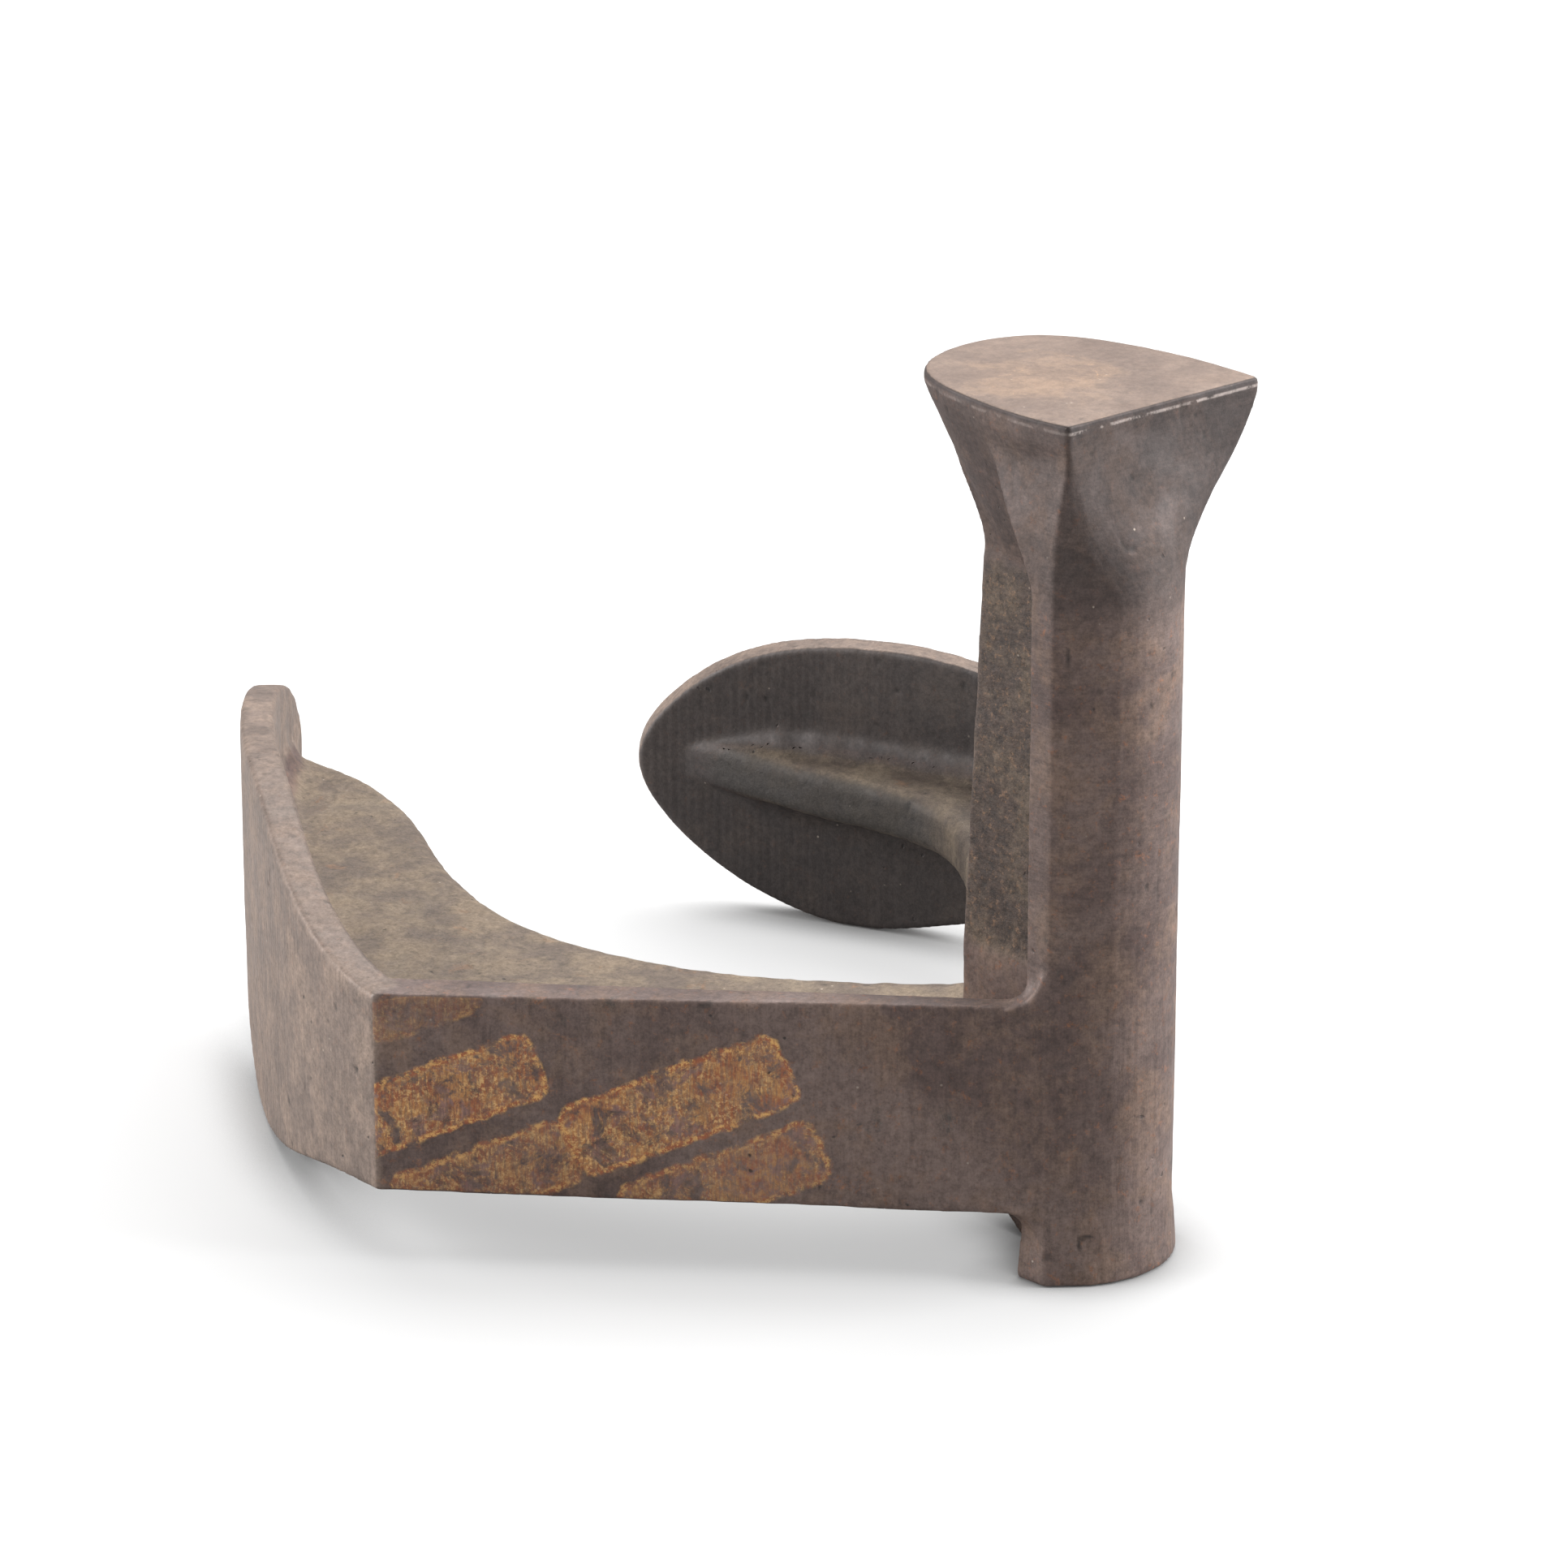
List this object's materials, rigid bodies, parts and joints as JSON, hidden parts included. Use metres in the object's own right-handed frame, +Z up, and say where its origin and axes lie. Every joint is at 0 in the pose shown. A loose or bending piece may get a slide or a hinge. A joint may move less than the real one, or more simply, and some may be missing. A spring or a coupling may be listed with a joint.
{
  "type": "paperweight",
  "caption": "Desk paperweight cast as a small three-armed shoe last: a heel plate on a flanged post, and a long and a short sole plate on level arms.",
  "frame": {"origin": "centre of the bounding box on the resting plane", "axes": "+Z up through the heel post, -X along the long arm, +Y along the short arm"},
  "size_m": [0.1108, 0.1174, 0.0938],
  "materials": {
    "skin": "dark brown patina",
    "worn": "worn brown patina",
    "web": "sand-cast, olive patina"
  },
  "bodies": {
    "root": {"heel_plate": "worn", "heel_flare": "skin", "heel_post_flange": "skin", "heel_post_web": "web", "corner_hub": "skin", "foot_stub": "skin", "long_arm_flange": "skin", "long_arm_web": "web", "long_sole_plate": "skin", "short_arm_flange": "skin", "short_arm_web": "web", "short_sole_plate": "skin"}
  },
  "joints": []
}
